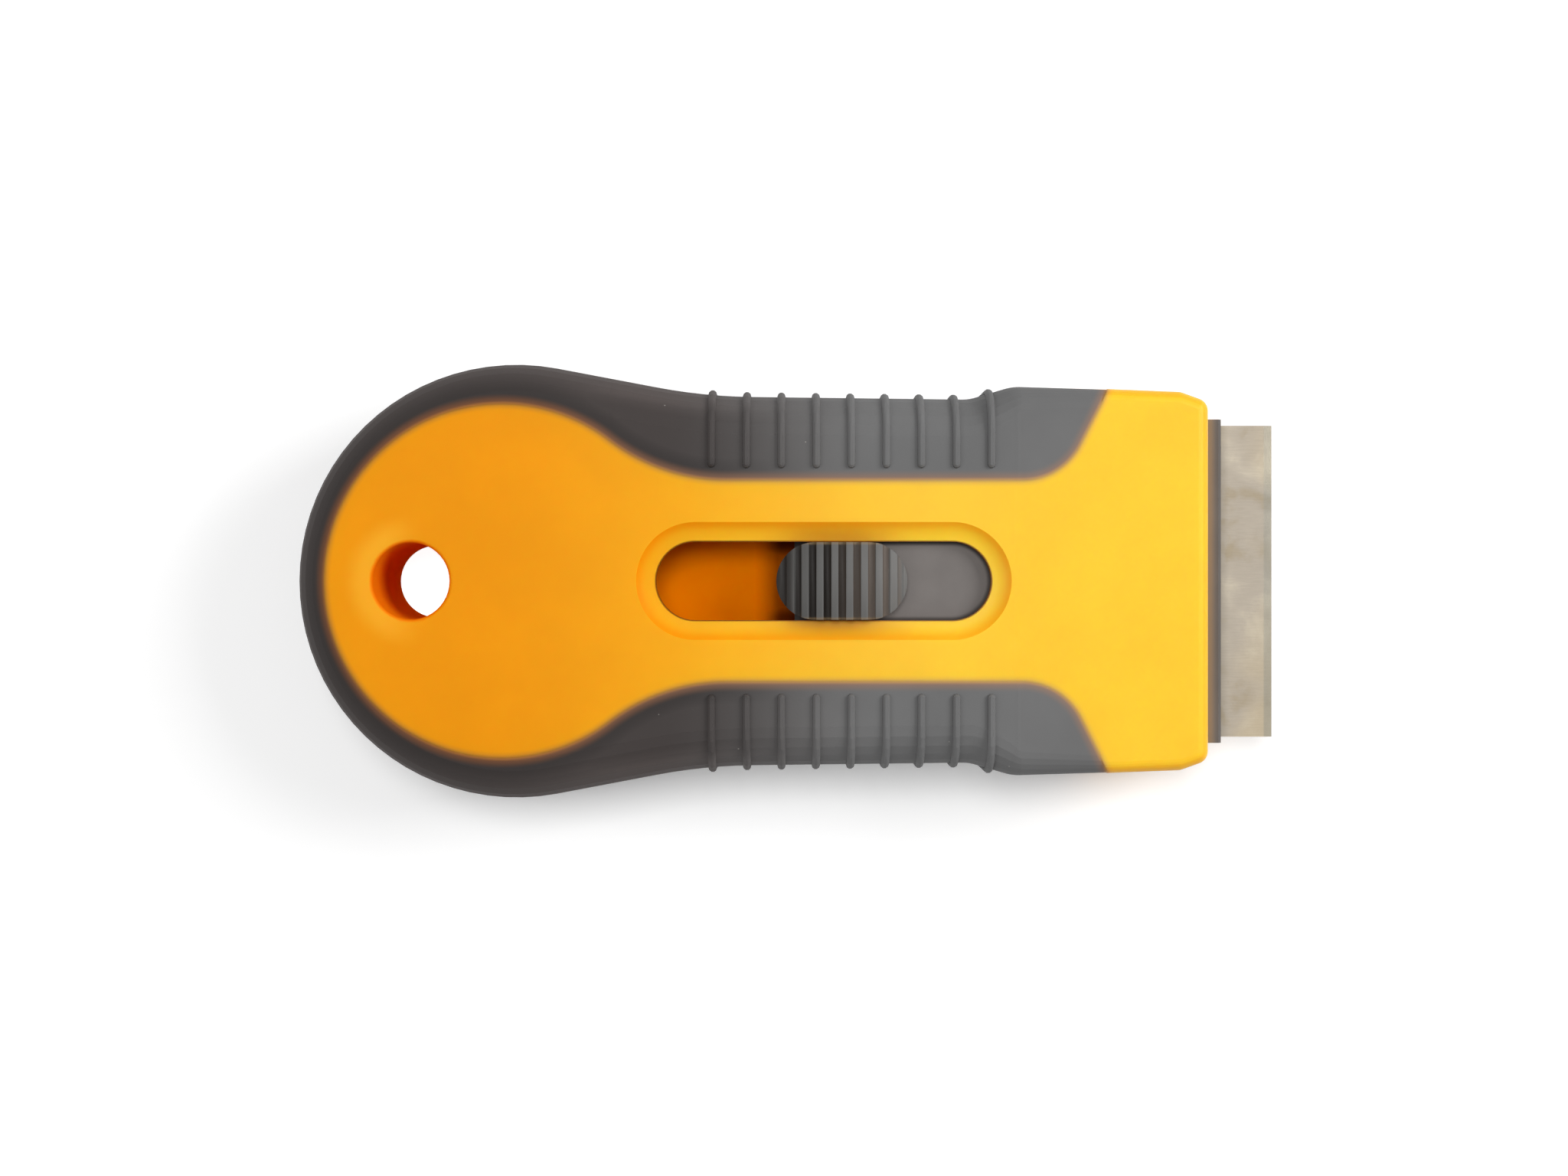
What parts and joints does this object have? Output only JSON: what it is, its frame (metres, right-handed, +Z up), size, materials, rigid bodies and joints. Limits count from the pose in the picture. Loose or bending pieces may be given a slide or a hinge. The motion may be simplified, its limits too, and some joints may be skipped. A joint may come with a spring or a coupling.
{
  "type": "razor blade scraper",
  "caption": "Hand scraper with a soft-gripped two-part handle, a hang hole, and a thumb button that slides a wide razor blade out of the front and back in.",
  "frame": {"origin": "under the middle of the overall length and width, on the plane that the lower grip's ribs stand on", "axes": "+X points along the tool at the blade's edge, +Z is up, out of the face with the thumb slot, and +Y is to the left of the blade's way"},
  "size_m": [0.1208, 0.0534, 0.0196],
  "materials": {
    "shell_plastic": "yellow ABS with a fine satin texture",
    "grip_rubber": "grey soft thermoplastic rubber, matte",
    "carrier_plastic": "warm grey moulded plastic, matte",
    "button_plastic": "grey moulded plastic, matte, with cross ridges",
    "blade_steel": "ground carbon steel with an oil film and fine grinding lines",
    "spine_steel": "folded bright steel strip",
    "spring_steel": "hardened spring steel strip",
    "screw_steel": "zinc-plated steel"
  },
  "bodies": {
    "housing": {"upper_shell": "shell_plastic", "lower_shell": "shell_plastic", "upper_grip": "grip_rubber", "lower_grip": "grip_rubber", "housing_screws": "screw_steel"},
    "carrier": {"blade_carrier": "carrier_plastic", "blade_clamp": "carrier_plastic", "clamp_screws": "screw_steel", "blade": "blade_steel", "blade_spine": "spine_steel", "latch_spring": "spring_steel", "latch_screws": "screw_steel"},
    "button": {"thumb_button": "button_plastic"}
  },
  "joints": [
    {"name": "carrier_slide", "type": "slide", "parent": "housing", "child": "carrier", "axis": [1, 0, 0], "range_m": [-0.01445, 0.01005]},
    {"name": "button_press", "type": "slide", "parent": "carrier", "child": "button", "axis": [0, 0, -1], "range_m": [0, 0.001], "stiffness_N_per_m": 600, "springref_m": -0.001, "deforming": ["latch_spring"]}
  ]
}
